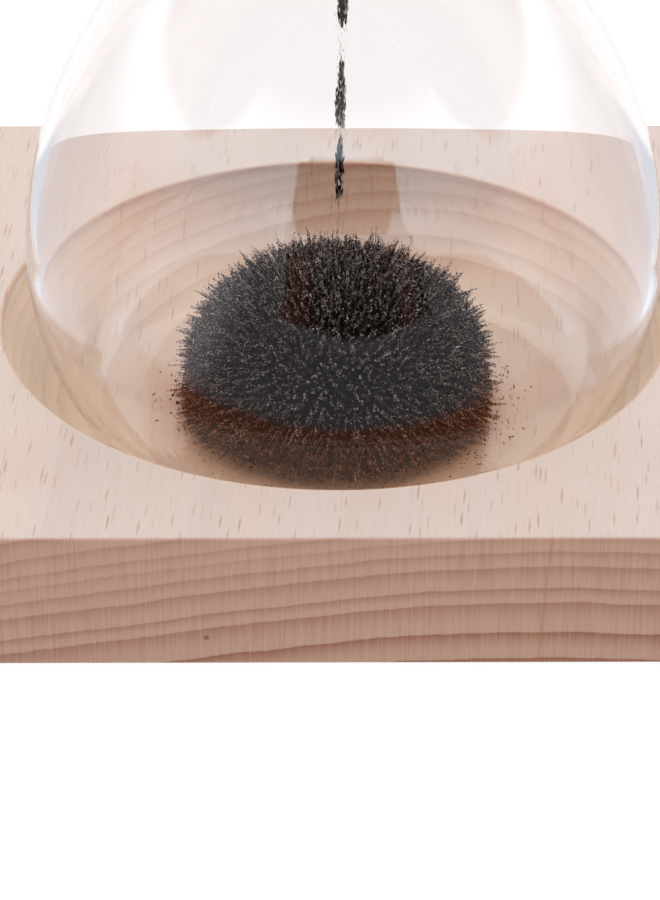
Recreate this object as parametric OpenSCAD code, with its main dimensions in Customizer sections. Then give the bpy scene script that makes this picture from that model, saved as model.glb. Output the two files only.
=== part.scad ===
// Magnetic hourglass: a free-standing glass hourglass whose lower bulb rests
// in a round recess of a square beech block. A disc magnet under the recess
// holds the black iron filings up in a spiky heap.
//
// Millimetres. The origin is the centre of the block's underside, +Z is up
// and -Y is the front. The glass lifts straight up out of the recess.

/* [Beech block] */
// Side of the square block
block_side = 80; // [76:1:110]
// Thickness of the block
block_t = 13.4; // [13.2:0.1:24]
// Width of the chamfer that eases its edges
block_ease = 0.4; // [0.1:0.1:1]

/* [Recess] */
// Radius of the recess at its rim
recess_r = 31.8; // [31.2:0.1:34]
// Depth of the recess below the top of the block
recess_d = 11.1; // [10.6:0.1:11.3]
// Radius of the cove between its wall and its floor
cove_r = 13; // [12:0.5:14]
// Width of the chamfer that eases its rim
rim_ease = 0.3; // [0.1:0.1:0.5]

/* [Magnet and felt] */
// Radius of the disc magnet
magnet_r = 12.5; // [8:0.5:16]
// Thickness of the magnet
magnet_t = 1.4; // [1:0.1:1.4]
// Radius of the felt disc that covers the magnet
felt_r = 18; // [17:0.5:24]
// Thickness of the felt disc, flush with the underside
felt_t = 0.5; // [0.3:0.1:0.5]

/* [Glass] */
// Outer radius of a bulb at its widest
bulb_r = 30.2; // [29.6:0.1:30.4]
// Height of the widest place above the foot of the bulb
bulb_h = 18.2; // [17.6:0.1:19]
// Radius of the side's curve below the widest place
low_side_r = 26; // [25:0.5:27]
// Radius of the side's curve above the widest place
high_side_r = 43.2; // [42:0.2:45]
// Radius of the corner between the side and the flat foot
corner_r = 10; // [9:0.5:11]
// Height of the whole glass
glass_h = 134; // [128:1:140]
// Wall thickness of the bulbs
wall_t = 1; // [0.8:0.1:1.4]
// Outer radius of the neck
neck_r = 4.5; // [4:0.1:5.5]
// Radius of the bore through the neck
neck_bore_r = 1.6; // [1.2:0.1:2]
// How far the loose glass stands to the right of the recess centre
glass_shift = 0.9; // [-0.9:0.1:0.9]
// Radius of the filling hole in the upper end
fill_r = 3; // [2:0.5:5]

/* [Iron filings] */
// Radius of the heap at its widest
heap_r = 14.8; // [12:0.1:16]
// Radius of the heap where it stands on the glass
heap_foot_r = 14.2; // [11:0.1:14.6]
// Height of the heap's widest place
heap_waist_h = 4.6; // [3:0.1:6]
// Height of the heap's top
heap_h = 15.6; // [13:0.1:18]
// How far the heap stands to the right of the recess centre
heap_shift = 0.3; // [-0.5:0.1:0.5]
// Height of the filings left above the neck
reserve_h = 18; // [14:0.5:24]
// Radius of the thin falling stream
stream_r = 0.45; // [0.3:0.05:0.8]
// Number of clumps in the stream
stream_clumps = 7; // [3:1:9]
// Number of stray grains on the floor of the glass
stray_count = 24; // [8:1:40]

/* [Hidden] */
$fn = 128;

rest_gap = 0.3;     // between the loose glass and the floor of the recess
pocket_play = 0.1;  // round the magnet and the felt in their pockets
seal_play = 0.05;   // round the seal in the filling hole
grain_gap = 0.15;   // between the reserve of filings and the glass
over = 1;           // how far a cut runs past the face that it opens

half_h = glass_h / 2;
foot_z = block_t - recess_d + rest_gap;  // underside of the glass
floor_z = foot_z + wall_t;               // floor inside the lower bulb
neck_z = foot_z + half_h;                // plane where the two bulbs are fused

// Centres of the arcs of a bulb's outline, as [radius, height above the foot]
low_c = [bulb_r - low_side_r, bulb_h];
high_c = [bulb_r - high_side_r, bulb_h];
corner_c = [low_c.x + sqrt((low_side_r - corner_r) ^ 2 - (bulb_h - corner_r) ^ 2), corner_r];

// Points along an arc, without the first
function arc(c, r, from, to, n) =
    [for (i = [1 : n]) let (a = from + (to - from) * i / n) c + r * [cos(a), sin(a)]];

function reversed(points) = [for (i = [len(points) - 1 : -1 : 0]) points[i]];

// Half of the hourglass's outline, from the flat foot up to the middle of a
// neck of radius n, set in from the outer outline by inset. Each arc runs
// smoothly into the next: foot, corner, low side, high side, neck.
function bulb_outline(n, inset) =
    let (high_r = high_side_r - inset,
         q = n - high_c.x,
         rise = half_h - bulb_h,
         fillet_r = (q ^ 2 + rise ^ 2 - high_r ^ 2) / (2 * (high_r - q)),
         low_turn = atan2(corner_c.y - low_c.y, corner_c.x - low_c.x),
         high_turn = atan2(rise, q + fillet_r))
    concat([[corner_c.x, inset]],
           arc(corner_c, corner_r - inset, -90, low_turn, 8),
           arc(low_c, low_side_r - inset, low_turn, 0, 8),
           arc(high_c, high_r, 0, high_turn, 14),
           arc([n + fillet_r, half_h], fillet_r, 180 + high_turn, 180, 10));

// One blown bulb, standing on its foot at z = 0. A hole_r above 0 leaves a
// round hole in the middle of the foot.
module bulb_shell(hole_r = 0) {
    rotate_extrude() polygon(concat([[hole_r, 0]],
                                    bulb_outline(neck_r, 0),
                                    reversed(bulb_outline(neck_bore_r, wall_t)),
                                    [[hole_r, wall_t]]));
}

// Turns a bulb's own upright frame over, so that z = 0 is the top of the glass
module upper_end() {
    translate([glass_shift, 0, foot_z + glass_h]) mirror([0, 0, 1]) children();
}

// Square prism with its edges eased by chamfers
module eased_block(side, t, ease) {
    intersection_for (turn = [[0, 0, 0], [90, 0, 0], [90, 0, 90]]) {
        translate([0, 0, t / 2]) rotate(turn) eased_bar(side, t, ease, turn == [0, 0, 0]);
    }
}

// Long bar along Z whose section is the block seen from one side
module eased_bar(side, t, ease, from_above) {
    w = side / 2;
    h = from_above ? w : t / 2;
    linear_extrude(side + 2 * over, center = true)
        polygon([[-w + ease, -h], [w - ease, -h], [w, -h + ease], [w, h - ease],
                 [w - ease, h], [-w + ease, h], [-w, h - ease], [-w, -h + ease]]);
}

// The recess, as the solid that is cut away, with its floor at z = 0
module recess_cut() {
    // the cove's centre lies above the rim, so the wall leans outwards
    cove_c = [recess_r - sqrt(cove_r ^ 2 - (cove_r - recess_d) ^ 2), cove_r];
    eased_turn = asin((recess_d - rim_ease - cove_r) / cove_r);
    rotate_extrude() polygon(concat([[0, 0], [cove_c.x, 0]],
                                    arc(cove_c, cove_r, -90, eased_turn, 14),
                                    [[recess_r + rim_ease, recess_d],
                                     [recess_r + rim_ease, recess_d + over],
                                     [0, recess_d + over]]));
}

module base_block() {
    color("#dcc0a8") difference() {
        eased_block(block_side, block_t, block_ease);
        translate([0, 0, block_t - recess_d]) recess_cut();
        translate([0, 0, -over]) cylinder(h = felt_t + over, r = felt_r + pocket_play);
        translate([0, 0, -over]) cylinder(h = felt_t + magnet_t + over, r = magnet_r + pocket_play);
    }
}

module magnet_disc() {
    color("#b9bcc0") translate([0, 0, felt_t]) cylinder(h = magnet_t, r = magnet_r);
}

module felt_disc() {
    color("#4a4540") cylinder(h = felt_t, r = felt_r);
}

module glass_lower_bulb() {
    color("#e6efee", 0.35) translate([glass_shift, 0, foot_z]) bulb_shell();
}

module glass_upper_bulb() {
    color("#e6efee", 0.35) upper_end() bulb_shell(fill_r);
}

// Flame-sealed button that closes the filling hole
module glass_seal() {
    color("#dfe9e8", 0.5) upper_end() cylinder(h = wall_t, r = fill_r - seal_play);
}

// Heap held up by the magnet: an undercut foot below a domed top
module filings_heap() {
    dome_h = heap_h - heap_waist_h;
    steps = 16;
    dome = [for (i = [0 : steps]) let (a = 90 * i / steps)
            [heap_r * cos(a), heap_waist_h + dome_h * sin(a)]];
    color("#1d1a19") translate([heap_shift, 0, floor_z]) rotate_extrude()
        polygon(concat([[0, 0], [heap_foot_r, 0]], dome));
}

// Clumps of falling filings, drawn in from the neck's axis towards the magnet
module filings_stream() {
    top = neck_z - 3;
    bottom = floor_z + heap_h;
    pitch = (top - bottom) / stream_clumps;
    clump_h = 0.7 * pitch;
    color("#2a2726") for (i = [0 : stream_clumps - 1]) {
        along = (i + 0.5) / stream_clumps;
        x = heap_shift + (glass_shift - heap_shift) * along;
        translate([x, 0, bottom + (i + 0.5) * pitch]) {
            cylinder(h = clump_h / 2, r1 = stream_r, r2 = stream_r / 4);
            translate([0, 0, -clump_h / 2]) cylinder(h = clump_h / 2, r1 = stream_r / 4, r2 = stream_r);
        }
    }
}

// Filings that still wait above the neck, with a crater where they drain
module filings_reserve() {
    inset = wall_t + grain_gap;
    crater_r = 6;
    crater_d = 3;
    color("#1d1a19") upper_end() rotate_extrude() difference() {
        polygon(concat([[0, inset]], bulb_outline(neck_bore_r - grain_gap, inset), [[0, half_h]]));
        square([bulb_r, half_h - reserve_h]);
        polygon([[0, half_h - reserve_h], [crater_r, half_h - reserve_h],
                 [0, half_h - reserve_h + crater_d]]);
    }
}

// Single grains that lie on the glass round the heap
module stray_filings() {
    golden = 137.508;
    near = heap_foot_r + 2;
    far = corner_c.x - 0.4;
    color("#1d1a19") for (i = [0 : stray_count - 1]) {
        reach = near + (far - near) * ((i * 7) % stray_count) / stray_count;
        size = 0.3 + 0.05 * (i % 4);
        translate([glass_shift, 0, floor_z]) rotate(i * golden) translate([reach, 0, 0])
            rotate(i * 40) translate([-size / 2, -size / 2, 0]) cube([size, size * 0.6, size * 0.5]);
    }
}

base_block();
magnet_disc();
felt_disc();
glass_lower_bulb();
glass_upper_bulb();
glass_seal();
filings_heap();
filings_stream();
filings_reserve();
stray_filings();
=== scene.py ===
"""Looks of the magnetic hourglass: a beech block with a round recess, a loose blown hourglass
standing in it, and black iron filings that a hidden magnet holds up in a bristling heap.

Blender's units are metres. Shapes are worked out in millimetres in the part's own frame: the origin
is the centre of the block's underside, +Z is up and -Y is the front.
"""
import math

import bpy
import numpy as np
from mathutils import Matrix, Vector


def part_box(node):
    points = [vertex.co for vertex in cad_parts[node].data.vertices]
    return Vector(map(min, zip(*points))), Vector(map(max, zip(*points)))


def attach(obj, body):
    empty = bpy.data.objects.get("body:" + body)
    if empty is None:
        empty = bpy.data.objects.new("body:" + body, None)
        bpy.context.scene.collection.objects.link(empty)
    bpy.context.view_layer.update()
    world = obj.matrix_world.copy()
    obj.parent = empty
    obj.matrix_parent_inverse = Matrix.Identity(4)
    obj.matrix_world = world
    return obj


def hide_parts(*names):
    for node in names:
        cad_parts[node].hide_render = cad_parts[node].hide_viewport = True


MM = 0.001
TURN = 2 * math.pi

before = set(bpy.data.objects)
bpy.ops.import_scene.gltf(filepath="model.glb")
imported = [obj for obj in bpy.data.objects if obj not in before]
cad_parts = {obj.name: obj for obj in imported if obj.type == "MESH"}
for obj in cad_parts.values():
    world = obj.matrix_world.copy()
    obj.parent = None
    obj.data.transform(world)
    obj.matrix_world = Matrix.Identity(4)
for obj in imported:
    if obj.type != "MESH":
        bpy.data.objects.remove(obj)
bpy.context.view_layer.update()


# ---------------------------------------------------------------- sizes, from the CAD

def node_box(name):
    """Lowest and highest corner of a CAD node, in mm."""
    low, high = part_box(name)
    return np.array(low) / MM, np.array(high) / MM


block_high = node_box("base_block")[1]
bulb_low, bulb_high = node_box("glass_lower_bulb")
upper_high = node_box("glass_upper_bulb")[1]
heap_low, heap_high = node_box("filings_heap")
stream_low, stream_high = node_box("filings_stream")
reserve_high = node_box("filings_reserve")[1]
felt_high = node_box("felt_disc")[1]
magnet_high = node_box("magnet_disc")[1]

BLOCK_HALF = block_high[0]
BLOCK_TOP = block_high[2]
GLASS_X = (bulb_low[0] + bulb_high[0]) / 2
FOOT_Z = bulb_low[2]
HALF_GLASS = (upper_high[2] - FOOT_Z) / 2
BULB_R = (bulb_high[0] - bulb_low[0]) / 2
HEAP_X = (heap_low[0] + heap_high[0]) / 2
HEAP_R = (heap_high[0] - heap_low[0]) / 2
FLOOR_Z = heap_low[2]     # inside the glass, where the heap stands
HEAP_H = heap_high[2] - heap_low[2]

# The glass's outline is made of the same arcs as in the CAD
WALL = 1.0
BULB_H = 18.2
LOW_SIDE_R = 26.0
HIGH_SIDE_R = 43.2
CORNER_R = 10.0
NECK_R = 4.5
NECK_BORE_R = 1.6
GRAIN_GAP = 0.15          # between the waiting filings and the glass

# The block's recess and pockets, as in the CAD
RECESS_R = 31.8
RECESS_D = 11.1
COVE_R = 13.0
RIM_EASE = 0.3
EDGE_EASE = 0.4
UPRIGHT_EDGE_R = 0.5
POCKET_PLAY = 0.1         # round the magnet and the felt


# ---------------------------------------------------------------- mesh helpers

def piece(name, verts, faces, body, material, replaces, smooth=True, sharp=None):
    """A mesh object from points in mm, riding on a CAD body in place of some of its nodes."""
    mesh = bpy.data.meshes.new(name)
    verts = np.asarray(verts, np.float32) * MM
    if isinstance(faces, np.ndarray):
        count, sides = faces.shape
        mesh.vertices.add(len(verts))
        mesh.vertices.foreach_set("co", verts.ravel())
        mesh.loops.add(count * sides)
        mesh.loops.foreach_set("vertex_index", faces.astype(np.int32).ravel())
        mesh.polygons.add(count)
        mesh.polygons.foreach_set("loop_start", np.arange(0, count * sides, sides, dtype=np.int32))
        mesh.update(calc_edges=True)
    else:
        mesh.from_pydata(verts.tolist(), [], faces)
    mesh.validate()
    mesh.polygons.foreach_set("use_smooth", np.full(len(mesh.polygons), smooth))
    mesh.materials.append(material)
    if sharp is not None:
        mesh.set_sharp_from_angle(angle=math.radians(sharp))
    obj = bpy.data.objects.new(name, mesh)
    bpy.context.scene.collection.objects.link(obj)
    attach(obj, body)
    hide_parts(*replaces)


def grid_faces(rows, cols, first=0):
    """Quads between rows of points that close on themselves."""
    j, k = np.meshgrid(np.arange(rows - 1), np.arange(cols), indexing="ij")
    k2 = (k + 1) % cols
    quads = np.stack([j * cols + k, j * cols + k2, (j + 1) * cols + k2, (j + 1) * cols + k], -1)
    return (quads.reshape(-1, 4) + first).tolist()


def surface(rows, first=0, start=None, end=None):
    """Points and faces of a skin over closed rows of points, with a single point at a closed end."""
    rows = [np.asarray(r, float) for r in rows]
    cols = len(rows[0])
    verts = np.concatenate(rows)
    faces = grid_faces(len(rows), cols, first)
    ring = np.arange(cols)
    following = (ring + 1) % cols
    if start is not None:
        tip = first + len(verts)
        verts = np.concatenate([verts, [start]])
        faces += [[tip, first + int(b), first + int(a)] for a, b in zip(ring, following)]
    if end is not None:
        tip = first + len(verts)
        verts = np.concatenate([verts, [end]])
        last = first + (len(rows) - 1) * cols
        faces += [[tip, last + int(a), last + int(b)] for a, b in zip(ring, following)]
    return verts, faces


def lathe(profile, cols, x=0.0, z=0.0, first=0, wobble=None):
    """Skin turned round the axis at x. A profile that starts or ends on the axis is closed there."""
    turn = np.arange(cols) * TURN / cols
    profile = [tuple(p) for p in profile]
    start = end = None
    if profile[0][0] == 0:
        start = (x, 0, z + profile[0][1])
        profile = profile[1:]
    if profile[-1][0] == 0:
        end = (x, 0, z + profile[-1][1])
        profile = profile[:-1]
    rows = [np.stack([x + r * np.cos(turn), r * np.sin(turn), np.full(cols, z + h)], 1) for r, h in profile]
    if wobble is not None:
        rows = [wobble(row) for row in rows]
    return surface(rows, first, start, end)


def arc(centre, r, start, end, n):
    """Points along an arc, without the first, with angles in degrees."""
    a = np.radians(start + (end - start) * np.arange(1, n + 1) / n)
    return [(centre[0] + r * math.cos(t), centre[1] + r * math.sin(t)) for t in a]


# ---------------------------------------------------------------- node helpers

class Graph:
    """Short names for building the node tree of one material or world."""

    def __init__(self, name, kind="Material"):
        owners = bpy.data.worlds if kind == "World" else bpy.data.materials
        self.owner = owners.new(name)
        self.owner.use_nodes = True
        self.tree = self.owner.node_tree
        self.tree.nodes.clear()
        self.output = self.node("Output" + kind)

    def put(self, socket, value):
        """Link or set a socket."""
        if isinstance(value, bpy.types.NodeSocket):
            self.tree.links.new(value, socket)
        elif value is not None:
            socket.default_value = value

    def node(self, kind, ins=(), **settings):
        """New node with its inputs linked or set."""
        n = self.tree.nodes.new("ShaderNode" + kind)
        for key, value in settings.items():
            setattr(n, key, value)
        for key, value in dict(ins).items():
            self.put(n.inputs[key], value)
        return n

    def math(self, operation, a, b=None, c=None):
        n = self.node("Math", operation=operation)
        for socket, value in zip(n.inputs, (a, b, c)):
            self.put(socket, value)
        return n.outputs[0]

    def times(self, a, b):
        return self.math("MULTIPLY", a, b)

    def minus(self, a, b):
        return self.math("SUBTRACT", a, b)

    def times_plus(self, a, b, c):
        return self.math("MULTIPLY_ADD", a, b, c)

    def between(self, share, a, b):
        """Number that runs from a to b as the share runs from 0 to 1."""
        return self.times_plus(share, self.minus(b, a), a)

    def absolute(self, a):
        return self.math("ABSOLUTE", a)

    def hypot(self, a, b):
        return self.math("SQRT", self.times_plus(a, a, self.times(b, b)))

    def place_mm(self):
        """Where a point lies in the part's frame, in mm."""
        return self.stretch(self.node("TexCoord").outputs["Object"], 1 / MM, 1 / MM, 1 / MM)

    def span(self, value, low, high, out_low=0.0, out_high=1.0):
        """Smooth step from low to high."""
        n = self.node("MapRange", {"Value": value, "From Min": low, "From Max": high,
                                   "To Min": out_low, "To Max": out_high},
                      interpolation_type="SMOOTHSTEP")
        return n.outputs[0]

    def stretch(self, vector, x, y, z):
        n = self.node("VectorMath", operation="MULTIPLY")
        self.put(n.inputs[0], vector)
        n.inputs[1].default_value = (x, y, z)
        return n.outputs[0]

    def noise(self, vector, scale=1.0, detail=2.0, roughness=0.5, distortion=0.0):
        return self.node("TexNoise", {"Vector": vector, "Scale": scale, "Detail": detail,
                                      "Roughness": roughness, "Distortion": distortion}).outputs[0]

    def cells(self, vector, x, y, z):
        """How far a point is from the middle of its cell, and the cell's random numbers, for cells
        about x by y by z in size."""
        n = self.node("TexVoronoi", {"Vector": self.stretch(vector, 1 / x, 1 / y, 1 / z), "Scale": 1.0,
                                     "Randomness": 1.0}, feature="F1")
        return n.outputs["Distance"], self.node("SeparateColor", {"Color": n.outputs["Color"]}).outputs

    def mix(self, factor, a, b, blend="MIX"):
        n = self.node("Mix", data_type="RGBA", blend_type=blend)
        self.put(n.inputs[0], factor)
        self.put(n.inputs[6], colour(a))
        self.put(n.inputs[7], colour(b))
        return n.outputs[2]

    def ramp(self, factor, stops):
        """Colour ramp from (place, grey or colour) pairs."""
        n = self.node("ValToRGB", {"Fac": factor})
        elements = n.color_ramp.elements
        while len(elements) < len(stops):
            elements.new(0.5)
        for element, (place, value) in zip(elements, stops):
            element.position = place
            element.color = colour((value,) * 3 if isinstance(value, float) else value)
        return n.outputs[0]

    def bump(self, height, strength, distance):
        """Bump of a distance given in mm."""
        n = self.node("Bump", {"Height": height, "Strength": strength, "Distance": distance * MM})
        return n.outputs[0]

    def shown_when(self, test, shader, otherwise):
        """One shader where the test is 1 and another where it is 0."""
        n = self.node("MixShader")
        for socket, value in zip(n.inputs, (test, otherwise.outputs[0], shader.outputs[0])):
            self.put(socket, value)
        return n

    def finish(self, shader):
        self.tree.links.new(shader.outputs[0], self.output.inputs["Surface"])
        return self.owner


def colour(value):
    """A colour triple with its alpha, or anything else as it is."""
    if isinstance(value, tuple) and len(value) == 3:
        return value + (1.0,)
    return value


# ---------------------------------------------------------------- materials

# Depths of the growth-ring edges below the block's top, in mm where the rings crest, and how
# dark each is. The negative ones only reach the block away from the crest.
RINGS = [(-6.9, 0.6), (-4.75, 0.75), (-2.8, 0.7), (-1.1, 0.7), (0.25, 0.6), (1.7, 0.75), (3.3, 0.8),
         (5.6, 0.85), (7.1, 0.85), (10.2, 1.0), (12.9, 1.0)]
RINGS_FROM, RINGS_TO = -8.0, 16.0     # depths that the rings' ramp spans
RING_ONSET = 0.16                     # mm over which a ring darkens at its edge
RING_CREST_X = 19.0
RING_SLOPE = 0.165
RING_BEND = 3.8
GRAIN_LEAN = 0.072                    # how far the grain runs to the right for each mm towards the back
KNOT_X, KNOT_Z = -11.75, 2.9


def beech():
    """Solid beech: growth rings arch across the end grain, rays run up it, and flecks lie along Y."""
    g = Graph("beech")
    square_x, y, z = g.node("SeparateXYZ", {"Vector": g.place_mm()}).outputs
    x = g.minus(square_x, g.times(g.math("ADD", y, BLOCK_HALF), GRAIN_LEAN))
    place = g.node("CombineXYZ", {"X": x, "Y": y, "Z": z}).outputs[0]
    facing = g.node("SeparateXYZ", {"Vector": g.node("TexCoord").outputs["Normal"]}).outputs
    depth = g.minus(BLOCK_TOP, z)
    out = g.hypot(square_x, y)
    in_front = g.span(y, 0.0, -20.0)
    turned = g.times(g.span(depth, 0.3, 1.2), g.span(out, RECESS_R, RECESS_R + 1.0, 1.0, 0.0))
    end_grain = g.times(g.span(g.absolute(facing[1]), 0.32, 0.95), g.times_plus(turned, -0.45, 1.0))

    # growth rings
    lean = g.times(g.minus(x, RING_CREST_X), RING_SLOPE)
    arch = g.minus(g.math("SQRT", g.times_plus(lean, lean, RING_BEND ** 2)), RING_BEND)
    slow = g.minus(g.noise(g.stretch(place, 0.035, 0.012, 0.035), 1, 1), 0.5)
    quick = g.minus(g.noise(g.stretch(place, 0.22, 0.02, 0.22), 1, 2), 0.5)
    fine = g.minus(g.noise(g.stretch(place, 2.2, 0.1, 1.2), 1, 2), 0.5)
    warp = g.times_plus(slow, 1.6, g.times_plus(quick, 0.45, g.times(fine, 0.18)))
    ring = g.math("ADD", g.minus(depth, arch), warp)
    ramp_length = RINGS_TO - RINGS_FROM
    stops = []
    for at, dark in RINGS:
        stops += [((at - RING_ONSET - RINGS_FROM) / ramp_length, 0.0),
                  ((at - RINGS_FROM) / ramp_length, dark)]
    tone = g.ramp(g.math("DIVIDE", g.minus(ring, RINGS_FROM), ramp_length), stops + [(1.0, 0.0)])
    tone = g.math("POWER", tone, 2.2)

    # medullary rays: thin upright plates, seen as lines on the end grain and flecks on the faces
    apart, chances = g.cells(place, 0.42, 4.6, 7.0)
    picked = g.times(g.span(chances[0], 0.36, 0.48), g.span(chances[1], 0.0, 1.0, 0.35, 1.0))
    fleck = g.times(g.span(apart, 0.12, 0.38, 1.0, 0.0), picked)
    fleck = g.times(fleck, g.span(g.absolute(facing[0]), 0.5, 0.9, 1.0, 0.2))
    small_apart, small_chances = g.cells(place, 0.2, 1.4, 3.0)
    small_fleck = g.times(g.span(small_apart, 0.15, 0.35, 1.0, 0.0), g.span(small_chances[1], 0.6, 0.8))

    # faces along the grain: cream with pinkish bands
    bands = g.noise(g.stretch(place, 0.16, 0.008, 0.16), 1, 3)
    fibres = g.noise(g.stretch(place, 5.0, 0.12, 5.0), 1, 2)
    side = g.mix(g.span(bands, 0.3, 0.7), (0.520, 0.421, 0.367), (0.510, 0.428, 0.395))
    side = g.mix(g.times(tone, g.times_plus(turned, 0.40, 0.30)), side, (0.40, 0.265, 0.195))
    side = g.mix(g.span(fibres, 0.35, 0.65, 0.0, 0.10), side, (0.38, 0.28, 0.22))
    side = g.mix(g.times(small_fleck, 0.30), side, (0.35, 0.23, 0.17))
    side = g.mix(g.times(fleck, 0.72), side, (0.34, 0.215, 0.155))

    # the turned recess is painted paler and yellower, painted light for the light that falls into it; painted
    # shade makes it warmer and darker round the heap; a warm line runs at its rim
    side = g.mix(turned, side, (1.32, 1.22, 1.05), "MULTIPLY")
    # painted shade: warmer and darker round the heap's foot, where the heap shades the floor
    heap_shade = g.times(turned, g.span(out, HEAP_R - 1.0, HEAP_R + 6.0, 1.0, 0.0))
    side = g.mix(heap_shade, side, (0.97, 0.74, 0.58), "MULTIPLY")
    rim = g.span(g.absolute(g.minus(out, RECESS_R + RIM_EASE / 2)), 0.12, 0.26, 1.0, 0.0)
    side = g.mix(g.times(rim, g.span(depth, 0.7, 0.3)), side, (0.98, 0.84, 0.70), "MULTIPLY")

    # end grain: redder and darker, with fine upright lines and pores
    lines = g.noise(g.stretch(place, 4.4, 0.2, 0.14), 1, 3, 0.6)
    pores = g.noise(g.stretch(place, 7.0, 1.0, 7.0), 1, 1)
    end = g.mix(tone, (0.520, 0.318, 0.240), (0.285, 0.100, 0.052))
    end = g.mix(g.span(lines, 0.42, 0.66, 0.0, 0.20), end, (0.56, 0.38, 0.30))
    end = g.mix(g.span(lines, 0.56, 0.32, 0.0, 0.20), end, (0.30, 0.13, 0.08))
    end = g.mix(g.span(pores, 0.5, 0.75, 0.0, 0.20), end, (0.24, 0.12, 0.085))
    end = g.mix(g.times(fleck, 0.16), end, (0.26, 0.12, 0.08))
    # one long orange ray near the crest of the rings
    ray_x = g.times_plus(depth, -0.07, RING_CREST_X - 0.2)
    ray = g.absolute(g.minus(g.times_plus(fine, 0.15, x), ray_x))
    ray = g.times(g.span(ray, 0.05, 0.22, 1.0, 0.0), in_front)
    end = g.mix(g.times(ray, 0.4), end, (0.40, 0.17, 0.075))
    # one pin knot, low on the left of the front
    knot = g.span(g.hypot(g.minus(square_x, KNOT_X), g.minus(z, KNOT_Z)), 0.12, 0.34, 1.0, 0.0)
    end = g.mix(g.times(g.times(knot, in_front), 0.75), end, (0.10, 0.055, 0.035))

    height = g.math("ADD", g.times(fibres, 0.5), g.minus(g.times(lines, 0.35), g.times(fleck, 0.3)))
    return g.finish(g.node("BsdfPrincipled", {
        "Base Color": g.mix(end_grain, side, end), "Roughness": g.times_plus(fibres, 0.14, 0.50),
        "Specular IOR Level": 0.35, "Normal": g.bump(height, 0.25, 0.12)}))


def clear_glass():
    """Blown soda glass, faintly tinted and rippled. Light on its way between the room and a matt
    surface goes straight through it, so that the recess below is lit as brightly as it should be."""
    g = Graph("clear_glass")
    ripple = g.noise(g.stretch(g.place_mm(), 0.045, 0.045, 0.02), 1, 1)
    clear = g.node("BsdfPrincipled", {
        "Base Color": (0.978, 0.958, 0.956, 1.0), "Roughness": 0.0, "IOR": 1.5, "Transmission Weight": 1.0,
        "Normal": g.bump(ripple, 0.05, 0.5)})
    through = g.node("BsdfTransparent", {"Color": (0.99, 0.99, 0.99, 1.0)})
    path = g.node("LightPath").outputs
    lighting = g.math("MAXIMUM", path["Is Shadow Ray"], path["Is Diffuse Ray"])
    return g.finish(g.shown_when(lighting, through, clear))


def iron(name, shade=1.0):
    """Black oxidised filings: dull dark grains with scattered bright ones, some of them painted glints, and
    painted warm bounce light from the wood at the heap's foot.
    """
    g = Graph(name)
    here = g.place_mm()
    above = g.node("SeparateXYZ", {"Vector": here}).outputs[2]
    grain = g.noise(here, 4.5, 2)
    chance = g.node("NewGeometry").outputs["Random Per Island"]
    # scattered bright grains: some grains are paler, and the brightest stand in as painted glints
    paint = g.ramp(chance, [(0.0, (0.004, 0.0026, 0.0022)), (0.34, (0.010, 0.0066, 0.0058)),
                            (0.54, (0.060, 0.042, 0.037)), (0.74, (0.20, 0.150, 0.134)),
                            (0.90, (0.55, 0.46, 0.42)), (1.0, (0.90, 0.82, 0.78))])
    # painted glints in patches, for the larger pieces that are a single island
    painted_glint = g.span(g.noise(here, 9.0, 1), 0.62, 0.74, 0.0, 0.5)
    paint = g.mix(painted_glint, paint, (0.17, 0.14, 0.125))
    # painted warm bounce light from the wood, stronger towards the heap's foot
    painted_bounce = g.times(g.span(above, FLOOR_Z + 7.5, FLOOR_Z + 1.5),
                   g.span(g.noise(here, 0.8, 2), 0.25, 0.6, 0.6, 1.0))
    paint = g.mix(painted_bounce, paint, (1.25, 0.60, 0.38), "MULTIPLY")
    if shade < 1:
        paint = g.mix(1.0, paint, (shade, shade, shade), "MULTIPLY")
    return g.finish(g.node("BsdfPrincipled", {
        "Base Color": paint, "Metallic": 0.5, "Roughness": g.span(grain, 0.3, 0.7, 0.30, 0.55),
        "Specular IOR Level": 0.08, "Normal": g.bump(grain, 0.5, 0.06)}))


def felt():
    """Pressed dark wool felt, tangled and slightly cloudy."""
    g = Graph("felt")
    here = g.place_mm()
    tangle = g.noise(here, 3.0, 4, 0.7, 1.5)
    clouds = g.noise(here, 0.35, 2)
    paint = g.mix(g.span(tangle, 0.35, 0.65), (0.035, 0.030, 0.027), (0.10, 0.088, 0.08))
    paint = g.mix(g.span(clouds, 0.35, 0.7, 0.0, 0.35), paint, (0.055, 0.045, 0.04))
    return g.finish(g.node("BsdfPrincipled", {
        "Base Color": paint, "Roughness": 0.95, "Sheen Weight": 0.4, "Sheen Roughness": 0.5,
        "Normal": g.bump(tangle, 0.7, 0.2)}))


def nickel():
    """Satin nickel plating with fine scuffs and dull spots."""
    g = Graph("nickel")
    here = g.place_mm()
    scuff = g.noise(g.stretch(here, 0.4, 9.0, 1.0), 1, 3)
    spots = g.noise(here, 1.5, 3)
    paint = g.mix(g.span(spots, 0.4, 0.7), (0.66, 0.64, 0.60), (0.58, 0.56, 0.51))
    return g.finish(g.node("BsdfPrincipled", {
        "Base Color": paint, "Metallic": 1.0, "Roughness": g.span(scuff, 0.3, 0.7, 0.22, 0.38),
        "Normal": g.bump(scuff, 0.1, 0.05)}))


BEECH, GLASS, FELT, NICKEL = beech(), clear_glass(), felt(), nickel()
IRON, GRIT = iron("iron_filings"), iron("loose_iron_grains", 0.25)


# ---------------------------------------------------------------- beech block

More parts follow.
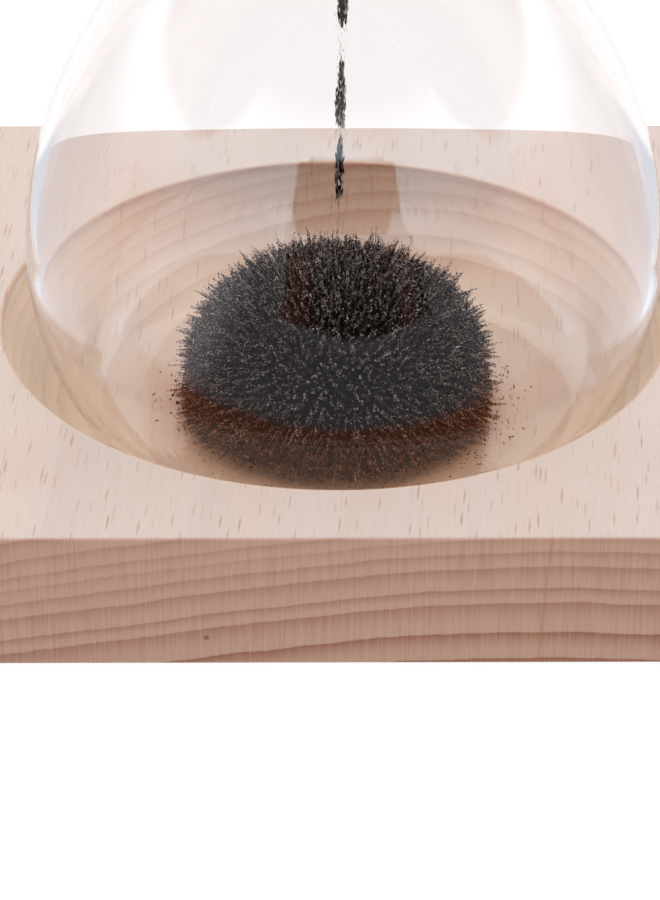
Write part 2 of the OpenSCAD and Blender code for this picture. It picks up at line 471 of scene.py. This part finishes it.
def block_columns():
    """Points and outward normals round the block's outline, with rounded upright edges."""
    a, c = BLOCK_HALF, UPRIGHT_EDGE_R
    base = []
    for quarter in range(4):
        turn = math.radians(90 * quarter)
        cos, sin = math.cos(turn), math.sin(turn)
        side = [((a, t), (1, 0)) for t in np.linspace(-(a - c), a - c, 61)[:-1]]
        corner = [((a - c + c * math.cos(p), a - c + c * math.sin(p)), (math.cos(p), math.sin(p)))
                  for p in np.radians(np.linspace(0, 90, 7)[:-1])]
        for (px, py), (nx, ny) in side + corner:
            base.append(((cos * px - sin * py, sin * px + cos * py),
                         (cos * nx - sin * ny, sin * nx + cos * ny)))
    return np.array([b for b, n in base]), np.array([n for b, n in base])


def block():
    """The block in one skin: pockets, underside, eased sides, top, rim and recess, row by row."""
    outline, normal = block_columns()
    turn = np.arctan2(outline[:, 1], outline[:, 0])
    circle = np.stack([np.cos(turn), np.sin(turn)], 1)

    def at(points, z):
        return np.concatenate([points, np.full((len(points), 1), z)], 1)

    def edge(inset, z):
        return at(outline - normal * inset, z)

    def ring(r, z):
        return at(circle * r, z)

    top, ease = BLOCK_TOP, EDGE_EASE
    floor = top - RECESS_D
    cove_x = RECESS_R - math.sqrt(COVE_R ** 2 - (COVE_R - RECESS_D) ** 2)
    rim_turn = math.degrees(math.asin((RECESS_D - RIM_EASE - COVE_R) / COVE_R))
    felt_r, felt_t = felt_high[0] + POCKET_PLAY, felt_high[2]
    pocket_r, pocket_top = magnet_high[0] + POCKET_PLAY, magnet_high[2]
    rim_r = RECESS_R + RIM_EASE
    soft = 0.05      # how far a row stands off a sharp corner of the pockets
    margin = 0.15    # the same, beside an eased edge

    rows = [ring(4, pocket_top), ring(pocket_r - soft, pocket_top), ring(pocket_r, pocket_top - soft),
            ring(pocket_r, felt_t + soft), ring(pocket_r + soft, felt_t), ring(felt_r - soft, felt_t),
            ring(felt_r, felt_t - soft), ring(felt_r, 2 * soft), ring(felt_r + 2 * soft, 0)]
    for t in (0.15, 0.5, 0.85):
        rows.append(at(circle * felt_r * (1 - t) + (outline - normal * ease) * t, 0))
    rows.append(edge(ease + margin, 0))
    for p in np.radians(np.linspace(0, 90, 6)):
        rows.append(edge(ease * (1 - math.sin(p)), ease * (1 - math.cos(p))))
    for z in np.linspace(ease + 0.2, top - ease - 0.2, 5):
        rows.append(edge(0, z))
    for p in np.radians(np.linspace(0, 90, 6)):
        rows.append(edge(ease * (1 - math.cos(p)), top - ease * (1 - math.sin(p))))
    rows.append(edge(ease + margin, top))
    for t in (0.8, 0.5, 0.2):
        rows.append(at(circle * rim_r * (1 - t) + (outline - normal * ease) * t, top))
    rows.append(ring(rim_r + 0.12, top))
    for p in np.radians(np.linspace(90, 180, 6)):
        rows.append(ring(rim_r + RIM_EASE * math.cos(p), top - RIM_EASE + RIM_EASE * math.sin(p)))
    rows += [ring(r, z) for r, z in arc((cove_x, floor + COVE_R), COVE_R, rim_turn, -90, 30)]
    rows += [ring(r, floor) for r in (15, 10, 5)]
    verts, faces = surface(rows, start=(0, 0, pocket_top), end=(0, 0, floor))
    piece("beech_block", verts, faces, "base", BEECH, ["base_block"], sharp=40)


# ---------------------------------------------------------------- glass

END_RADII = (0.5, 1.0, 1.5, 2.0, 2.6, 3.3, 4.5, 6.5, 9.0, 11.5, 13.5, 15.5)
CAVITY_END_RADII = (0, 0.5, 1.0, 1.5, 2.0, 2.6, 3.3, 4.5, 7.0, 11.0, 15.0)
END_DISH_R = 15.0


def corner_x():
    """Radius at which the flat foot of a bulb ends."""
    return BULB_R - LOW_SIDE_R + math.sqrt((LOW_SIDE_R - CORNER_R) ** 2 - (BULB_H - CORNER_R) ** 2)


def half_outline(neck, inset):
    """Half of the glass's outline, from its foot to the neck, as in the CAD but finer."""
    low_c = (BULB_R - LOW_SIDE_R, BULB_H)
    high_c = (BULB_R - HIGH_SIDE_R, BULB_H)
    corner_c = (corner_x(), CORNER_R)
    high_r = HIGH_SIDE_R - inset
    q = neck - high_c[0]
    rise = HALF_GLASS - BULB_H
    fillet = (q ** 2 + rise ** 2 - high_r ** 2) / (2 * (high_r - q))
    low_turn = math.degrees(math.atan2(corner_c[1] - low_c[1], corner_c[0] - low_c[0]))
    high_turn = math.degrees(math.atan2(rise, q + fillet))
    return ([(corner_c[0], inset)] + arc(corner_c, CORNER_R - inset, -90, low_turn, 16)
            + arc(low_c, LOW_SIDE_R - inset, low_turn, 0, 20)
            + arc(high_c, high_r, 0, high_turn, 36)
            + arc((neck + fillet, HALF_GLASS), fillet, 180 + high_turn, 180, 20))


def mirrored(points):
    """The other half of an outline, from the neck to the far end."""
    return [(r, 2 * HALF_GLASS - z) for r, z in reversed(points[:-1])]


def end_skin(bead, hollow):
    """Middle of an end wall: a slightly hollow disc with the flame-sealed bead at its centre."""
    points = [(0, hollow - bead)]
    for r in END_RADII:
        hill = bead * math.exp(-(r / 1.5) ** 2)
        dish = hollow * max(0.0, 1 - (r / END_DISH_R) ** 2)
        points.append((r, dish - hill))
    return points


def glass():
    """The blown glass: an outer and an inner skin, each closed at both ends."""
    outer = half_outline(NECK_R, 0)
    inner = half_outline(NECK_BORE_R, WALL)
    seal = [(r, 2 * HALF_GLASS - z) for r, z in reversed(end_skin(0.2, 0.3))]
    outside = end_skin(0.0, 0.25) + outer + mirrored(outer) + seal
    blob = [(r, 2 * HALF_GLASS - WALL - 0.7 * math.exp(-(r / 1.9) ** 2)) for r in CAVITY_END_RADII]
    inside = [(r, WALL) for r in (0, 6, 12, 16)] + inner + mirrored(inner) + list(reversed(blob))
    cols = 160
    skin, faces = lathe(outside, cols, GLASS_X, FOOT_Z)
    cavity, cavity_faces = lathe(inside, cols, GLASS_X, FOOT_Z, first=len(skin))
    faces += [list(reversed(f)) for f in cavity_faces]
    piece("hourglass_glass", np.concatenate([skin, cavity]), faces, "hourglass",
          GLASS, ["glass_lower_bulb", "glass_upper_bulb", "glass_seal"])


# ---------------------------------------------------------------- iron filings

STEM_CROOK = 0.12         # how far a stem strays from straight, as a share of its length
CORE_R, CORE_WAIST, CORE_FOOT_R = HEAP_R - 1.4, 4.9, HEAP_R - 0.5
CORE_H = HEAP_H - 1.75

TUFTS = 3200
STEMS_PER_TUFT = 3
CHIPS_PER_STEM = 16
TUFT_REACH = (1.75, 0.50)       # mean and spread of the tufts' length
TUFT_REACH_LIMITS = (0.7, 3.1)
LONG_TUFTS, LONGER = 0.12, 1.45  # share of the tufts that are longer, and by how much
TUFT_R = 0.27             # radius of a tuft where it leaves the core
LOWEST_GRAIN = FLOOR_Z + 0.12

STRAYS = 300
CLUMP_GRAINS, CLUMP_LENGTH = 190, 7   # grains in a falling clump of that length
STREAM_DUST = 420
SPLINTERS = 2600
CRATER_R, CRATER_DEPTH = 6.5, 3.0


def frames(direction):
    """Two unit vectors square to each direction."""
    helper = np.where(np.abs(direction[:, 2:]) < 0.9, [[0.0, 0.0, 1.0]], [[1.0, 0.0, 0.0]])
    u = np.cross(direction, helper)
    u /= np.linalg.norm(u, axis=1, keepdims=True)
    return u, np.cross(direction, u)


def around(u, v, angle):
    """Unit vectors at an angle from u towards v."""
    return u * np.cos(angle)[:, None] + v * np.sin(angle)[:, None]


def flat(turn):
    """Level unit vectors."""
    return np.stack([np.cos(turn), np.sin(turn), np.zeros(len(turn))], 1)


def repeated(tris, per, n):
    """The triangles of one grain of so many corners, repeated for n grains."""
    return (np.array(tris)[None] + (np.arange(n) * per)[:, None, None]).reshape(-1, 3)


def stems(rng, root, tip, width):
    """Crooked, three-sided, tapering stems, one from each root to each tip."""
    n, sides = len(root), 3
    axis = tip - root
    length = np.linalg.norm(axis, axis=1, keepdims=True)
    u, v = frames(axis / length)
    spin = rng.uniform(0, TURN, n)
    rows = []
    for t, share in ((0.15, 0.9), (0.65, 0.7)):
        swing = rng.uniform(0, TURN, n)
        off = STEM_CROOK * length[:, 0] * rng.uniform(0, 1, n) * t
        centre = root + axis * t + around(u, v, swing) * off[:, None]
        size = width * share * rng.uniform(0.75, 1.25, n)
        rows += [centre + around(u, v, spin + k * TURN / sides) * size[:, None] for k in range(sides)]
    verts = np.stack(rows + [root, tip], 1)
    per = verts.shape[1]
    tris = []
    for k in range(sides):
        k2 = (k + 1) % sides
        tris += [[k, k2, sides + k2], [k, sides + k2, sides + k],
                 [per - 2, k2, k], [per - 1, sides + k, sides + k2]]
    return verts.reshape(-1, 3), repeated(tris, per, n)


def chips(rng, middle, direction, length, width):
    """Angular chips: long four-cornered grains with a blunt edge at each end."""
    n = len(middle)
    u, v = frames(direction)
    spin = rng.uniform(0, TURN, n)
    across, over = around(u, v, spin), around(v, -u, spin)
    reach = direction * (length / 2)[:, None]
    near, far = [(width * rng.uniform(0.3, 0.7, n))[:, None] for end in range(2)]
    verts = np.stack([middle - reach - across * near, middle - reach + across * near,
                      middle + reach - over * far, middle + reach + over * far], 1)
    return verts.reshape(-1, 3), repeated([[0, 1, 2], [0, 3, 1], [1, 3, 2], [2, 3, 0]], 4, n)


def slivers(rng, middle, direction, length, width):
    """Three-sided splinters, pointed at both ends."""
    n = len(middle)
    u, v = frames(direction)
    spin = rng.uniform(0, TURN, n)
    waist = middle + direction * (rng.uniform(-0.2, 0.2, n) * length)[:, None]
    half = direction * (length / 2)[:, None]
    rows = [waist + around(u, v, spin + k * TURN / 3) * (width * rng.uniform(0.6, 1.4, n))[:, None]
            for k in range(3)]
    verts = np.stack(rows + [middle - half, middle + half], 1)
    tris = [[0, 1, 4], [1, 2, 4], [2, 0, 4], [1, 0, 3], [2, 1, 3], [0, 2, 3]]
    return verts.reshape(-1, 3), repeated(tris, 5, n)


def joined(parts):
    """One set of points and triangles from several."""
    verts, faces, count = [], [], 0
    for v, f in parts:
        verts.append(v)
        faces.append(f + count)
        count += len(v)
    return np.concatenate(verts), np.concatenate(faces)


def tilted(rng, direction, low, high):
    """Each direction turned by a random angle between low and high degrees."""
    u, v = frames(direction)
    spin = rng.uniform(0, TURN, len(direction))
    lean = np.radians(rng.uniform(low, high, len(direction)))
    out = around(direction, around(u, v, spin), lean)
    return out / np.linalg.norm(out, axis=1, keepdims=True)


def grains(name, parts, material, replaces):
    """One piece of loose, faceted grains."""
    verts, faces = parts
    piece(name, verts, faces, "hourglass", material, [replaces], smooth=False)


def core_outline():
    """The heap without its bristles, from the rim of its foot to its top."""
    n = 60
    skirt = [(CORE_FOOT_R + (CORE_R - CORE_FOOT_R) * math.sin(t * math.pi / 2), CORE_WAIST * t)
             for t in np.linspace(0, 1, n // 4)[:-1]]
    dome = [(CORE_R * math.cos(a), CORE_WAIST + (CORE_H - CORE_WAIST) * math.sin(a))
            for a in np.linspace(0, math.pi / 2, n)[:-1]]
    return skirt + dome + [(0, CORE_H)]


def lumps(row):
    """Uneven surface for the heap's core."""
    x, y, z = row[:, 0], row[:, 1], row[:, 2]
    broad = np.sin(1.9 * x + 0.7 * y) * np.sin(1.7 * y - 0.6 * z)
    close = 0.6 * np.sin(3.7 * x - 2.9 * y + 1.3 * z)
    out = row.copy()
    out[:, :2] *= 1 + (broad + close)[:, None] * 0.12 / 14
    return out


def spread(outline, count, rng):
    """Evenly spread points on a turned surface: their radius, height and turn."""
    p = np.array(outline, float)
    step = np.linalg.norm(np.diff(p, axis=0), axis=1)
    area = np.concatenate([[0], np.cumsum(step * (p[1:, 0] + p[:-1, 0]) / 2)])
    golden = math.pi * (3 - math.sqrt(5))
    i = np.arange(count)
    at = (i + 0.5 + rng.uniform(-0.5, 0.5, count)) / count * area[-1]
    r = np.interp(at, area, p[:, 0])
    z = np.interp(at, area, p[:, 1])
    return r, z, i * golden + rng.normal(0, 0.15, count) / np.maximum(r, 0.5)


def heap():
    """The bristling heap: a dark core under tufts of stems that follow the magnet's field, each
    stem crusted with chips."""
    rng = np.random.default_rng(11)
    outline = core_outline()
    verts, faces = lathe([(0, 0.02)] + outline, 96, HEAP_X, FLOOR_Z, wobble=lumps)
    piece("filings_heap_core", verts, faces, "hourglass", IRON, ["filings_heap"])

    # tufts, straight up on top, level at the waist and a little down at the foot
    r, z, turn = spread(outline, TUFTS, rng)
    climb = np.arcsin(np.clip((z - CORE_WAIST) / (CORE_H - CORE_WAIST), 0, 1))
    rise = np.where(z > CORE_WAIST, climb * 0.96 + 0.06, -0.27 * (1 - z / CORE_WAIST))
    outward, up = flat(turn), np.array([[0.0, 0.0, 1.0]])
    direction = tilted(rng, around(outward, up, rise), 0, 17)
    place = outward * r[:, None] + up * z[:, None] + [HEAP_X, 0, FLOOR_Z]
    swell = 1 + 0.14 * np.sin(place[:, 0] * 0.9 + 1.3) * np.sin(place[:, 1] * 1.1) + 0.10 * np.sin(turn * 7)
    reach = rng.normal(*TUFT_REACH, TUFTS) * swell
    reach = np.where(rng.uniform(0, 1, TUFTS) < LONG_TUFTS, reach * LONGER, reach)
    reach = np.clip(reach, *TUFT_REACH_LIMITS)

    # stems, close together at their tips
    owner = np.repeat(np.arange(TUFTS), STEMS_PER_TUFT)
    n = len(owner)
    u, v = frames(direction[owner])
    angle, gap = rng.uniform(0, TURN, n), TUFT_R * np.sqrt(rng.uniform(0, 1, n))
    aside = around(u, v, angle) * gap[:, None]
    root = place[owner] - direction[owner] * 0.4 + aside
    share = rng.uniform(0.5, 1.0, n)
    tip = place[owner] + direction[owner] * (reach[owner] * share)[:, None] + aside * 0.2
    tip += rng.normal(0, 0.07, (n, 3))
    tip[:, 2] = np.maximum(tip[:, 2], LOWEST_GRAIN + rng.uniform(0, 0.3, n))
    width = rng.uniform(0.035, 0.060, n)

    # chips, smaller towards the tip
    stem = np.repeat(np.arange(n), CHIPS_PER_STEM)
    t = rng.uniform(0.25, 0.99, len(stem))[:, None]
    taper = 1.15 - 0.5 * t[:, 0]
    middle = root[stem] * (1 - t) + tip[stem] * t + rng.normal(0, 0.072, (len(stem), 3)) * taper[:, None]
    along = (tip - root) / np.linalg.norm(tip - root, axis=1, keepdims=True)
    chip_dir = tilted(rng, along[stem], 10, 88)
    chip_len = rng.uniform(0.11, 0.29, len(stem)) * taper
    chip_wide = rng.uniform(0.08, 0.17, len(stem)) * taper
    middle[:, 2] = np.maximum(middle[:, 2], LOWEST_GRAIN)

    # one piece for each band of height
    height = z[owner]
    levels = [-1.0, 2.4, CORE_WAIST, 6.8, 8.9, 11.1, HEAP_H]
    for name, low, high in zip(("foot", "ankle", "waist", "side", "shoulder", "crown"), levels, levels[1:]):
        mine = (height >= low) & (height < high)
        crust = mine[stem]
        parts = [stems(rng, root[mine], tip[mine], width[mine]),
                 chips(rng, middle[crust], chip_dir[crust], chip_len[crust], chip_wide[crust])]
        grains("filings_heap_bristles_" + name, joined(parts), IRON, "filings_heap")


def strays():
    """Loose grains on the floor of the glass round the heap."""
    rng = np.random.default_rng(5)
    n = STRAYS
    turn = rng.uniform(0, TURN, n)
    r = HEAP_R + 0.3 + 4.6 * rng.beta(1.1, 2.6, n)
    beyond = np.maximum(r - corner_x(), 0)
    z = FLOOR_Z + (CORNER_R - WALL) - np.sqrt((CORNER_R - WALL) ** 2 - beyond ** 2) + 0.07
    middle = np.stack([GLASS_X + r * np.cos(turn), r * np.sin(turn), z], 1)
    length = rng.uniform(0.18, 0.42, n) * np.where(rng.uniform(0, 1, n) < 0.12, 1.6, 1.0)
    verts, faces = slivers(rng, middle, tilted(rng, flat(turn + 1), 0, 60), length,
                           rng.uniform(0.07, 0.13, n))
    verts[:, 2] = np.maximum(verts[:, 2], FLOOR_Z + 0.005)
    grains("stray_grains", (verts, faces), GRIT, "stray_filings")


def stream():
    """Falling filings, gathered in clumps with ragged lower ends and fine dust between them."""
    rng = np.random.default_rng(23)
    top, bottom = stream_high[2] - 0.5, stream_low[2] + 0.5

    def falling(z, angle, out, lean, lengths, widths):
        """Upright splinters at heights z, each off the stream's middle by an angle and a distance."""
        z = np.clip(z, bottom, top)
        axis_x = HEAP_X + (GLASS_X - HEAP_X) * (z - bottom) / (top - bottom)
        middle = np.stack([axis_x + out * np.cos(angle), out * np.sin(angle), z], 1)
        direction = tilted(rng, np.tile([[0.0, 0.0, 1.0]], (len(z), 1)), 0, lean)
        return slivers(rng, middle, direction, rng.uniform(*lengths, len(z)), rng.uniform(*widths, len(z)))

    # (top of the clump above the block's top, its length, its greatest radius)
    clumps = [(39.0, 8.2, 0.70), (27.3, 7.0, 0.72), (19.6, 6.9, 0.62), (48.0, 6.5, 0.5), (57.0, 7.0, 0.5),
              (64.5, 5.0, 0.45)]
    parts = []
    for head, long, wide in clumps:
        n = int(CLUMP_GRAINS * long / CLUMP_LENGTH)
        t = rng.beta(1.9, 1.3, n)
        swell = wide * (0.18 + 0.82 * np.sin(np.clip(t * 1.15, 0, 1) * math.pi * 0.62))
        parts.append(falling(BLOCK_TOP + head - long * t, rng.uniform(0, TURN, n),
                             swell * np.sqrt(rng.uniform(0, 1, n)) * 0.7, 16, (0.5, 1.5), (0.06, 0.13)))
    n = STREAM_DUST
    parts.append(falling(rng.uniform(bottom, top, n), rng.uniform(0, TURN, n),
                         np.abs(rng.normal(0, 0.28, n)), 10, (0.2, 0.7), (0.012, 0.03)))
    grains("falling_stream", joined(parts), IRON, "filings_stream")


def reserve():
    """Filings still waiting above the neck, with a drained crater and loose splinters on top."""
    rng = np.random.default_rng(31)
    level = reserve_high[2] - FOOT_Z - HALF_GLASS
    inner = half_outline(NECK_BORE_R - GRAIN_GAP, WALL + GRAIN_GAP)
    wall = [(r, 2 * HALF_GLASS - z) for r, z in reversed(inner)]
    wall = [(r, z) for r, z in wall if z - HALF_GLASS < level - 0.3]
    brim = wall[-1][0]
    top = []
    for r in np.linspace(brim - 0.3, 0, 26):
        dip = CRATER_DEPTH * max(0.0, 1 - r / CRATER_R) ** 1.3
        top.append((float(r), HALF_GLASS + level - 0.35 - dip + 0.06 * math.sin(r * 1.7)))
    verts, faces = lathe([(0, HALF_GLASS)] + wall + top, 96, GLASS_X, FOOT_Z)
    piece("waiting_filings", verts, faces, "hourglass", IRON, ["filings_reserve"])

    n = SPLINTERS
    r = (brim - 0.6) * np.sqrt(rng.uniform(0, 1, n))
    turn = rng.uniform(0, TURN, n)
    z = np.interp(r, [p[0] for p in reversed(top)], [p[1] for p in reversed(top)])
    middle = np.stack([GLASS_X + r * np.cos(turn), r * np.sin(turn), FOOT_Z + z + 0.02], 1)
    verts, faces = slivers(rng, middle, tilted(rng, flat(turn * 7), 0, 50), rng.uniform(0.2, 0.7, n),
                           rng.uniform(0.05, 0.13, n))
    verts[:, 2] = np.minimum(verts[:, 2], reserve_high[2])
    grains("waiting_splinters", (verts, faces), IRON, "filings_reserve")


# ---------------------------------------------------------------- felt and magnet

def felt_pad():
    """Pressed felt disc with a soft edge and an uneven nap."""
    rng = np.random.default_rng(3)
    r0, thick = felt_high[0], felt_high[2]
    profile = [(0, 0.02)] + [(r, 0.02) for r in np.linspace(0.6, r0 - 0.25, 44)]
    profile += [(r0 - 0.08, 0.06), (r0, 0.16), (r0, thick - 0.08), (r0 - 0.1, thick), (0, thick)]

    def nap(row):
        out = row.copy()
        under = row[:, 2] < 0.15
        out[under, 2] += rng.uniform(-0.02, 0.05, under.sum())
        return out

    verts, faces = lathe(profile, 180, wobble=nap)
    piece("felt_pad", verts, faces, "base", FELT, ["felt_disc"])


block()
glass()
heap()
strays()
stream()
reserve()
felt_pad()
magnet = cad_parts["magnet_disc"]     # keeps its CAD shape
magnet.data.materials.clear()
magnet.data.materials.append(NICKEL)


# ---------------------------------------------------------------- stage

FLOOR_HALF = 3.0
FLOOR_PAINT, FLOOR_GLOW = (0.13, 0.13, 0.13, 1.0), 7.0
LAMP_TINT = (1.0, 0.99, 0.975)
WHITE_SEEN = 1.0          # the backdrop as the camera and the glass see it
WHITE_LIT = 0.60          # the light that it sheds on matt surfaces from the back and the sides
WHITE_LIT_FRONT = 0.30    # the same, from the front

# The room that the glass mirrors, in metres. Turns are in radians from straight in front.
ROOM_NEAR = 0.0345        # where it starts in front
ROOM_FAR = 0.60
ROOM_HEIGHT, ROOM_CEILING = 0.42, 0.62
ROOM_EDGE_SPREAD = 0.014  # how much further out its lit part starts towards the sides
OPENING_HALF, OPENING_TOP = 0.425, 0.405


def stage_mesh(name, verts, faces, material):
    """A mesh in metres that belongs to the studio and not to the object."""
    mesh = bpy.data.meshes.new(name)
    mesh.from_pydata([tuple(v) for v in verts], [], faces)
    mesh.materials.append(material)
    obj = bpy.data.objects.new(name, mesh)
    bpy.context.scene.collection.objects.link(obj)
    return obj


def floor():
    """A plain pale floor, level with the block's underside."""
    g = Graph("floor")
    shader = g.node("BsdfPrincipled", {"Base Color": FLOOR_PAINT, "Roughness": 0.9, "Specular IOR Level": 0.1,
                                       "Emission Color": FLOOR_PAINT, "Emission Strength": FLOOR_GLOW})
    corners = [(FLOOR_HALF * x, FLOOR_HALF * y, 0) for x, y in ((-1, -1), (1, -1), (1, 1), (-1, 1))]
    stage_mesh("floor", corners, [(0, 1, 2, 3)], g.finish(shader))


def room_paint(level):
    """The mirrored room: pale, with one dark opening in front between reddish curtains."""
    g = Graph("mirrored_studio")
    x, y, z = g.node("SeparateXYZ", {"Vector": g.node("TexCoord").outputs["Object"]}).outputs
    turn = g.math("ARCTAN2", x, g.times(y, -1.0))
    out, wide = g.hypot(x, y), g.absolute(turn)

    # brighter towards the sides and higher up, dim at the ceiling
    glow = g.minus(g.span(wide, 0.50, 1.20, 0.24, 1.20), g.span(wide, 1.45, 1.9, 0.0, 0.35))
    glow = g.times_plus(g.span(turn, -0.52, -0.72), g.span(turn, -1.05, -0.85, 0.0, 0.40), glow)
    high = g.span(z, 0.09, 0.27)
    glow = g.between(high, glow, 2.2)
    paint = g.mix(high, (0.90, 0.92, 1.0), (0.64, 0.88, 1.0))
    risen = g.times_plus(g.span(wide, 0.8, 1.2), 0.16, z)
    top = g.span(risen, level + ROOM_HEIGHT, level + ROOM_HEIGHT + 0.066)
    glow = g.between(top, glow, 0.35)
    paint = g.mix(top, paint, (1.0, 0.92, 0.92))

    # brown close to the glass: a painted reflection of the shaded wood under it
    edge = g.times_plus(g.times(wide, wide), ROOM_EDGE_SPREAD, ROOM_NEAR)
    close = g.times(g.span(g.minus(out, edge), 0.0, 0.0015, 1.0, 0.0), g.span(wide, 0.75, 1.05, 1.0, 0.0))
    glow = g.between(close, glow, 0.36)
    paint = g.mix(close, paint, (0.9, 0.33, 0.17))

    # the opening, narrower above, and its curtains
    aside = g.absolute(g.minus(turn, g.span(z, 0.09, 0.20, 0.055, 0.0)))
    half = g.math("MINIMUM", g.span(z, 0.09, 0.25, OPENING_HALF, 0.36), g.span(z, 0.34, 0.41, 1.0, 0.28))
    sill = g.times_plus(g.times(aside, aside), 0.35, 0.078)
    opening = g.times(g.span(g.minus(aside, half), -0.012, 0.012, 1.0, 0.0),
                      g.span(g.minus(out, sill), -0.010, 0.022))
    opening = g.times(opening, g.span(z, OPENING_TOP, OPENING_TOP + 0.03, 1.0, 0.0))
    curtain = g.times(g.span(aside, 0.22, 0.30), g.span(z, 0.10, 0.17, 1.0, 0.0))
    curtain = g.times(curtain, g.span(turn, 0.37, 0.40, 1.0, 0.0))
    dark = g.mix(curtain, (0.004, 0.002, 0.002), (0.13, 0.022, 0.014))
    emission = g.node("Emission", {"Color": g.mix(opening, paint, dark),
                                   "Strength": g.between(opening, glow, 1.0)})

    mirrored_ray = g.math("GREATER_THAN", g.node("LightPath").outputs["Glossy Depth"], 0.5)
    return g.finish(g.shown_when(mirrored_ray, emission, g.node("BsdfTransparent")))


def mirrored_studio():
    """What the glass mirrors, seen only in reflections: a surface that lies just over the block's
    top, from a little way outside the recess, and stands up further out."""
    rim, beside = (RECESS_R + RIM_EASE + 0.2) * MM, BLOCK_HALF * MM + 0.001
    level = BLOCK_TOP * MM + 0.0001
    n = 72
    verts = [(0, 0, ROOM_CEILING)]
    for angle in np.linspace(-130, 130, n + 1):
        side, front = math.sin(math.radians(angle)), -math.cos(math.radians(angle))
        reach = max(abs(side), abs(front))
        start = rim if abs(angle) < 60 else ROOM_NEAR / reach if abs(angle) < 100 else beside / reach
        verts += [(side * r, front * r, rise) for r, rise in
                  ((start, level), (ROOM_FAR, level), (ROOM_FAR, level + ROOM_HEIGHT))]
    faces = []
    for a in range(1, 3 * n, 3):
        faces += [(a, a + 1, a + 4, a + 3), (a + 1, a + 2, a + 5, a + 4), (a + 2, 0, a + 5)]
    obj = stage_mesh("mirrored_studio", verts, faces, room_paint(level))
    for kind in ("camera", "diffuse", "shadow", "volume_scatter"):
        setattr(obj, "visible_" + kind, False)


def softbox(name, at, aim, size, power):
    """A soft rectangular lamp, aimed at a point."""
    lamp = bpy.data.lights.new(name, "AREA")
    lamp.shape = "RECTANGLE"
    lamp.size, lamp.size_y = size
    lamp.energy = power
    lamp.color = LAMP_TINT
    obj = bpy.data.objects.new(name, lamp)
    bpy.context.scene.collection.objects.link(obj)
    obj.location = at
    obj.rotation_euler = (Vector(aim) - Vector(at)).to_track_quat("-Z", "Y").to_euler()
    return obj


def backdrop():
    """A white world, which lights matt surfaces less than it shows, and less still from the front."""
    g = Graph("studio", "World")
    path = g.node("LightPath").outputs
    seen = g.math("MAXIMUM", g.math("MAXIMUM", path["Is Camera Ray"], path["Is Glossy Ray"]),
                  path["Is Transmission Ray"])
    toward = g.node("SeparateXYZ", {"Vector": g.node("TexCoord").outputs["Generated"]}).outputs
    lit = g.span(toward[1], -0.95, -0.2, WHITE_LIT_FRONT, WHITE_LIT)
    bpy.context.scene.world = g.finish(g.node("Background", {
        "Color": (1.0, 1.0, 1.0, 1.0), "Strength": g.between(seen, lit, WHITE_SEEN)}))


floor()
mirrored_studio()
softbox("softbox_top", (0.02, 0.08, 0.75), (0, 0.02, 0.0), (0.4, 0.4), 4.0)
for name, side, power in (("softbox_left", -1, 4.4), ("softbox_right", 1, 4.2)):
    lamp = softbox(name, (0.72 * side, -0.04, 0.19), (0, 0, 0.01), (0.5, 0.32), power)
    lamp.visible_glossy = False
    lamp.visible_transmission = False
backdrop()


# ---------------------------------------------------------------- camera

DISTANCE = 0.398       # from the middle of the recess, at the block's top
ELEVATION = 29.54      # degrees above the block's top
AZIMUTH = -0.705       # degrees to the right of straight in front
ROLL = 0.25            # degrees
LENS = 165.5           # mm, on a sensor 36 mm tall
AIM = Vector((-0.0008, -0.040, 0.02249))   # what the middle of the picture looks at

up, side_turn = math.radians(ELEVATION), math.radians(AZIMUTH)
camera_data = bpy.data.cameras.new("camera")
camera_data.sensor_fit = "VERTICAL"
camera_data.sensor_height = 36.0
camera_data.lens = LENS
camera_data.clip_start = 0.01
camera = bpy.data.objects.new("camera", camera_data)
camera.location = (DISTANCE * math.sin(side_turn) * math.cos(up),
                   -DISTANCE * math.cos(side_turn) * math.cos(up),
                   BLOCK_TOP * MM + DISTANCE * math.sin(up))
look = (AIM - camera.location).to_track_quat("-Z", "Y").to_matrix().to_4x4()
roll = Matrix.Rotation(math.radians(ROLL), 4, "Z")
camera.matrix_world = Matrix.Translation(camera.location) @ look @ roll
bpy.context.scene.collection.objects.link(camera)
bpy.context.scene.camera = camera

bpy.context.scene.cycles.blur_glossy = 0.0   # light reaches the recess through clear glass

view = bpy.context.scene.view_settings
view.view_transform = "Standard"
view.look = "None"
view.exposure = 0.0
view.gamma = 1.0
